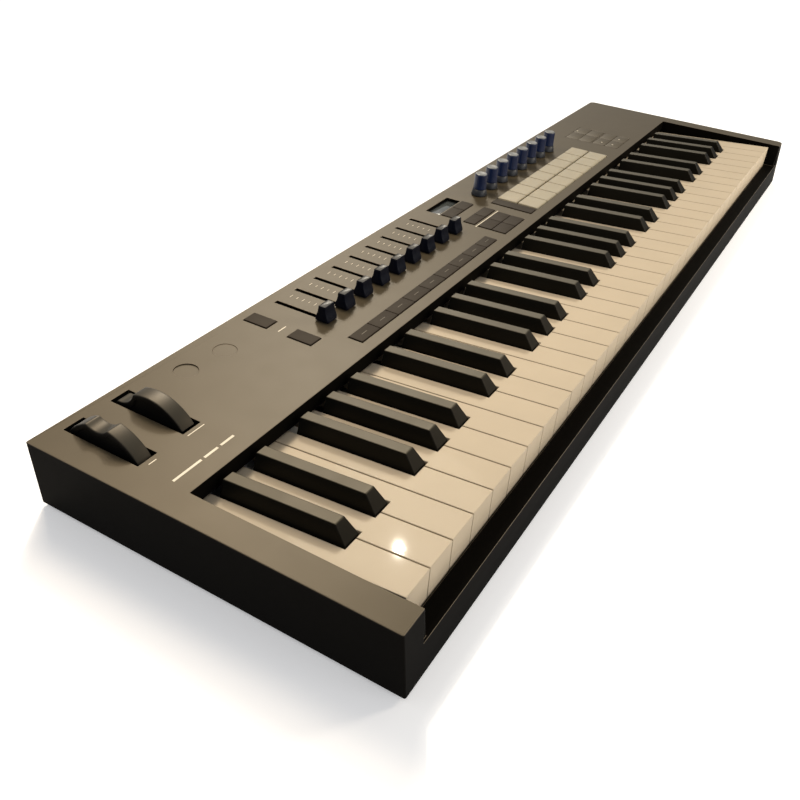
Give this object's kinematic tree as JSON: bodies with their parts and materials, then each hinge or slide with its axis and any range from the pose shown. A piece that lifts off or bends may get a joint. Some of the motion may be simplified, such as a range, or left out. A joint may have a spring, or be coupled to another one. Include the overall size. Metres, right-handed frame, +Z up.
{
  "type": "synthesizer",
  "caption": "Flat full-size keyboard synthesizer controller with ivory piano keys, pitch and modulation wheels, faders, knobs, pads, buttons and a small display.",
  "frame": {"origin": "on the resting surface under the middle of the case", "axes": "+X along the keyboard from the low keys to the high keys, +Y from the player to the rear panel, +Z up"},
  "size_m": [0.89, 0.244, 0.0685],
  "materials": {
    "case": "satin black-brown moulded plastic",
    "natural_key": "glossy ivory plastic",
    "sharp_key": "satin black plastic",
    "fader_cap": "satin blue-black plastic",
    "knob": "satin blue-black plastic with a rubbery skirt",
    "wheel": "fine-textured black plastic",
    "button": "satin dark brown-grey plastic",
    "pad": "translucent pale silicone",
    "display_glass": "dark glossy window",
    "steel": "plain steel",
    "circuit_board": "green solder mask",
    "rubber": "black rubber",
    "inner_plastic": "plain black plastic"
  },
  "bodies": {
    "case": {"top_case": "case", "bottom_plate": "case", "rubber_foot_front_left": "rubber", "rubber_foot_front_right": "rubber", "rubber_foot_rear_left": "rubber", "rubber_foot_rear_right": "rubber", "keybed_chassis": "steel", "key_contact_board": "circuit_board", "key_contact_rubber": "rubber", "control_board": "circuit_board", "wheel_bracket": "inner_plastic", "display_module": "display_glass", "usb_socket": "inner_plastic", "pedal_jack": "inner_plastic"},
    "naturals_cegb_1": {"naturals_cegb_1": "natural_key"},
    "naturals_dfa_1": {"naturals_dfa_1": "natural_key"},
    "sharps_1": {"sharps_1": "sharp_key"},
    "naturals_cegb_2": {"naturals_cegb_2": "natural_key"},
    "naturals_dfa_2": {"naturals_dfa_2": "natural_key"},
    "sharps_2": {"sharps_2": "sharp_key"},
    "naturals_cegb_3": {"naturals_cegb_3": "natural_key"},
    "naturals_dfa_3": {"naturals_dfa_3": "natural_key"},
    "sharps_3": {"sharps_3": "sharp_key"},
    "naturals_cegb_4": {"naturals_cegb_4": "natural_key"},
    "naturals_dfa_4": {"naturals_dfa_4": "natural_key"},
    "sharps_4": {"sharps_4": "sharp_key"},
    "naturals_cegb_5": {"naturals_cegb_5": "natural_key"},
    "naturals_dfa_5": {"naturals_dfa_5": "natural_key"},
    "sharps_5": {"sharps_5": "sharp_key"},
    "natural_c_high": {"natural_c_high": "natural_key"},
    "fader_cap_1": {"fader_cap_1": "fader_cap"},
    "fader_cap_2": {"fader_cap_2": "fader_cap"},
    "fader_cap_3": {"fader_cap_3": "fader_cap"},
    "fader_cap_4": {"fader_cap_4": "fader_cap"},
    "fader_cap_5": {"fader_cap_5": "fader_cap"},
    "fader_cap_6": {"fader_cap_6": "fader_cap"},
    "fader_cap_7": {"fader_cap_7": "fader_cap"},
    "fader_cap_8": {"fader_cap_8": "fader_cap"},
    "fader_cap_9": {"fader_cap_9": "fader_cap"},
    "knob_1": {"knob_1": "knob"},
    "knob_2": {"knob_2": "knob"},
    "knob_3": {"knob_3": "knob"},
    "knob_4": {"knob_4": "knob"},
    "knob_5": {"knob_5": "knob"},
    "knob_6": {"knob_6": "knob"},
    "knob_7": {"knob_7": "knob"},
    "knob_8": {"knob_8": "knob"},
    "pitch_wheel": {"pitch_wheel": "wheel"},
    "mod_wheel": {"mod_wheel": "wheel"},
    "button_left_rear": {"button_left_rear": "button"},
    "button_left_front": {"button_left_front": "button"},
    "track_button_strip": {"track_button_strip": "button"},
    "display_buttons": {"display_buttons": "button"},
    "page_buttons": {"page_buttons": "button"},
    "mode_buttons": {"mode_buttons": "button"},
    "scene_button": {"scene_button": "button"},
    "transport_buttons_rear": {"transport_buttons_rear": "button"},
    "transport_buttons_front": {"transport_buttons_front": "button"},
    "pad_row_front": {"pad_row_front": "pad"},
    "pad_row_rear": {"pad_row_rear": "pad"}
  },
  "joints": [
    {"name": "naturals_cegb_1_press", "type": "hinge", "parent": "case", "child": "naturals_cegb_1", "pos_m": [0, 0.047, 0.028], "axis": [1, 0, 0], "range_deg": [0, 3.6], "stiffness_Nm_per_rad": 3, "springref_deg": -8.59},
    {"name": "naturals_dfa_1_press", "type": "hinge", "parent": "case", "child": "naturals_dfa_1", "pos_m": [0, 0.047, 0.028], "axis": [1, 0, 0], "range_deg": [0, 3.6], "stiffness_Nm_per_rad": 3, "springref_deg": -8.59},
    {"name": "sharps_1_press", "type": "hinge", "parent": "case", "child": "sharps_1", "pos_m": [0, 0.047, 0.028], "axis": [1, 0, 0], "range_deg": [0, 3.6], "stiffness_Nm_per_rad": 3, "springref_deg": -8.59},
    {"name": "naturals_cegb_2_press", "type": "hinge", "parent": "case", "child": "naturals_cegb_2", "pos_m": [0, 0.047, 0.028], "axis": [1, 0, 0], "range_deg": [0, 3.6], "stiffness_Nm_per_rad": 3, "springref_deg": -8.59},
    {"name": "naturals_dfa_2_press", "type": "hinge", "parent": "case", "child": "naturals_dfa_2", "pos_m": [0, 0.047, 0.028], "axis": [1, 0, 0], "range_deg": [0, 3.6], "stiffness_Nm_per_rad": 3, "springref_deg": -8.59},
    {"name": "sharps_2_press", "type": "hinge", "parent": "case", "child": "sharps_2", "pos_m": [0, 0.047, 0.028], "axis": [1, 0, 0], "range_deg": [0, 3.6], "stiffness_Nm_per_rad": 3, "springref_deg": -8.59},
    {"name": "naturals_cegb_3_press", "type": "hinge", "parent": "case", "child": "naturals_cegb_3", "pos_m": [0, 0.047, 0.028], "axis": [1, 0, 0], "range_deg": [0, 3.6], "stiffness_Nm_per_rad": 3, "springref_deg": -8.59},
    {"name": "naturals_dfa_3_press", "type": "hinge", "parent": "case", "child": "naturals_dfa_3", "pos_m": [0, 0.047, 0.028], "axis": [1, 0, 0], "range_deg": [0, 3.6], "stiffness_Nm_per_rad": 3, "springref_deg": -8.59},
    {"name": "sharps_3_press", "type": "hinge", "parent": "case", "child": "sharps_3", "pos_m": [0, 0.047, 0.028], "axis": [1, 0, 0], "range_deg": [0, 3.6], "stiffness_Nm_per_rad": 3, "springref_deg": -8.59},
    {"name": "naturals_cegb_4_press", "type": "hinge", "parent": "case", "child": "naturals_cegb_4", "pos_m": [0, 0.047, 0.028], "axis": [1, 0, 0], "range_deg": [0, 3.6], "stiffness_Nm_per_rad": 3, "springref_deg": -8.59},
    {"name": "naturals_dfa_4_press", "type": "hinge", "parent": "case", "child": "naturals_dfa_4", "pos_m": [0, 0.047, 0.028], "axis": [1, 0, 0], "range_deg": [0, 3.6], "stiffness_Nm_per_rad": 3, "springref_deg": -8.59},
    {"name": "sharps_4_press", "type": "hinge", "parent": "case", "child": "sharps_4", "pos_m": [0, 0.047, 0.028], "axis": [1, 0, 0], "range_deg": [0, 3.6], "stiffness_Nm_per_rad": 3, "springref_deg": -8.59},
    {"name": "naturals_cegb_5_press", "type": "hinge", "parent": "case", "child": "naturals_cegb_5", "pos_m": [0, 0.047, 0.028], "axis": [1, 0, 0], "range_deg": [0, 3.6], "stiffness_Nm_per_rad": 3, "springref_deg": -8.59},
    {"name": "naturals_dfa_5_press", "type": "hinge", "parent": "case", "child": "naturals_dfa_5", "pos_m": [0, 0.047, 0.028], "axis": [1, 0, 0], "range_deg": [0, 3.6], "stiffness_Nm_per_rad": 3, "springref_deg": -8.59},
    {"name": "sharps_5_press", "type": "hinge", "parent": "case", "child": "sharps_5", "pos_m": [0, 0.047, 0.028], "axis": [1, 0, 0], "range_deg": [0, 3.6], "stiffness_Nm_per_rad": 3, "springref_deg": -8.59},
    {"name": "natural_c_high_press", "type": "hinge", "parent": "case", "child": "natural_c_high", "pos_m": [0, 0.047, 0.028], "axis": [1, 0, 0], "range_deg": [0, 3.6], "stiffness_Nm_per_rad": 1.2, "springref_deg": -8.59},
    {"name": "fader_cap_1_slide", "type": "slide", "parent": "case", "child": "fader_cap_1", "axis": [0, 1, 0], "range_m": [0, 0.0415]},
    {"name": "fader_cap_2_slide", "type": "slide", "parent": "case", "child": "fader_cap_2", "axis": [0, 1, 0], "range_m": [0, 0.0415]},
    {"name": "fader_cap_3_slide", "type": "slide", "parent": "case", "child": "fader_cap_3", "axis": [0, 1, 0], "range_m": [0, 0.0415]},
    {"name": "fader_cap_4_slide", "type": "slide", "parent": "case", "child": "fader_cap_4", "axis": [0, 1, 0], "range_m": [0, 0.0415]},
    {"name": "fader_cap_5_slide", "type": "slide", "parent": "case", "child": "fader_cap_5", "axis": [0, 1, 0], "range_m": [0, 0.0415]},
    {"name": "fader_cap_6_slide", "type": "slide", "parent": "case", "child": "fader_cap_6", "axis": [0, 1, 0], "range_m": [0, 0.0415]},
    {"name": "fader_cap_7_slide", "type": "slide", "parent": "case", "child": "fader_cap_7", "axis": [0, 1, 0], "range_m": [0, 0.0415]},
    {"name": "fader_cap_8_slide", "type": "slide", "parent": "case", "child": "fader_cap_8", "axis": [0, 1, 0], "range_m": [0, 0.0415]},
    {"name": "fader_cap_9_slide", "type": "slide", "parent": "case", "child": "fader_cap_9", "axis": [0, 1, 0], "range_m": [0, 0.0415]},
    {"name": "knob_1_turn", "type": "hinge", "parent": "case", "child": "knob_1", "pos_m": [0.052, 0.089, 0.0475], "axis": [0, 0, 1], "range_deg": [-150, 150]},
    {"name": "knob_2_turn", "type": "hinge", "parent": "case", "child": "knob_2", "pos_m": [0.0759, 0.089, 0.0475], "axis": [0, 0, 1], "range_deg": [-150, 150]},
    {"name": "knob_3_turn", "type": "hinge", "parent": "case", "child": "knob_3", "pos_m": [0.0998, 0.089, 0.0475], "axis": [0, 0, 1], "range_deg": [-150, 150]},
    {"name": "knob_4_turn", "type": "hinge", "parent": "case", "child": "knob_4", "pos_m": [0.1237, 0.089, 0.0475], "axis": [0, 0, 1], "range_deg": [-150, 150]},
    {"name": "knob_5_turn", "type": "hinge", "parent": "case", "child": "knob_5", "pos_m": [0.1476, 0.089, 0.0475], "axis": [0, 0, 1], "range_deg": [-150, 150]},
    {"name": "knob_6_turn", "type": "hinge", "parent": "case", "child": "knob_6", "pos_m": [0.1715, 0.089, 0.0475], "axis": [0, 0, 1], "range_deg": [-150, 150]},
    {"name": "knob_7_turn", "type": "hinge", "parent": "case", "child": "knob_7", "pos_m": [0.1954, 0.089, 0.0475], "axis": [0, 0, 1], "range_deg": [-150, 150]},
    {"name": "knob_8_turn", "type": "hinge", "parent": "case", "child": "knob_8", "pos_m": [0.2193, 0.089, 0.0475], "axis": [0, 0, 1], "range_deg": [-150, 150]},
    {"name": "pitch_wheel_bend", "type": "hinge", "parent": "case", "child": "pitch_wheel", "pos_m": [-0.4183, 0.0846, 0.0275], "axis": [1, 0, 0], "range_deg": [-35, 35], "stiffness_Nm_per_rad": 0.08},
    {"name": "mod_wheel_roll", "type": "hinge", "parent": "case", "child": "mod_wheel", "pos_m": [-0.3833, 0.0846, 0.0275], "axis": [1, 0, 0], "range_deg": [0, 70]},
    {"name": "button_left_rear_press", "type": "slide", "parent": "case", "child": "button_left_rear", "axis": [0, 0, -1], "range_m": [0, 0.0009], "stiffness_N_per_m": 2500, "springref_m": -0.001},
    {"name": "button_left_front_press", "type": "slide", "parent": "case", "child": "button_left_front", "axis": [0, 0, -1], "range_m": [0, 0.0009], "stiffness_N_per_m": 2500, "springref_m": -0.001},
    {"name": "track_button_strip_press", "type": "slide", "parent": "case", "child": "track_button_strip", "axis": [0, 0, -1], "range_m": [0, 0.0009], "stiffness_N_per_m": 2500, "springref_m": -0.001},
    {"name": "display_buttons_press", "type": "slide", "parent": "case", "child": "display_buttons", "axis": [0, 0, -1], "range_m": [0, 0.0009], "stiffness_N_per_m": 2500, "springref_m": -0.001},
    {"name": "page_buttons_press", "type": "slide", "parent": "case", "child": "page_buttons", "axis": [0, 0, -1], "range_m": [0, 0.0009], "stiffness_N_per_m": 2500, "springref_m": -0.001},
    {"name": "mode_buttons_press", "type": "slide", "parent": "case", "child": "mode_buttons", "axis": [0, 0, -1], "range_m": [0, 0.0009], "stiffness_N_per_m": 2500, "springref_m": -0.001},
    {"name": "scene_button_press", "type": "slide", "parent": "case", "child": "scene_button", "axis": [0, 0, -1], "range_m": [0, 0.0009], "stiffness_N_per_m": 2500, "springref_m": -0.001},
    {"name": "transport_buttons_rear_press", "type": "slide", "parent": "case", "child": "transport_buttons_rear", "axis": [0, 0, -1], "range_m": [0, 0.0009], "stiffness_N_per_m": 2500, "springref_m": -0.001},
    {"name": "transport_buttons_front_press", "type": "slide", "parent": "case", "child": "transport_buttons_front", "axis": [0, 0, -1], "range_m": [0, 0.0009], "stiffness_N_per_m": 2500, "springref_m": -0.001},
    {"name": "pad_row_front_press", "type": "slide", "parent": "case", "child": "pad_row_front", "axis": [0, 0, -1], "range_m": [0, 0.001], "stiffness_N_per_m": 6000, "springref_m": -0.001},
    {"name": "pad_row_rear_press", "type": "slide", "parent": "case", "child": "pad_row_rear", "axis": [0, 0, -1], "range_m": [0, 0.001], "stiffness_N_per_m": 6000, "springref_m": -0.001}
  ]
}
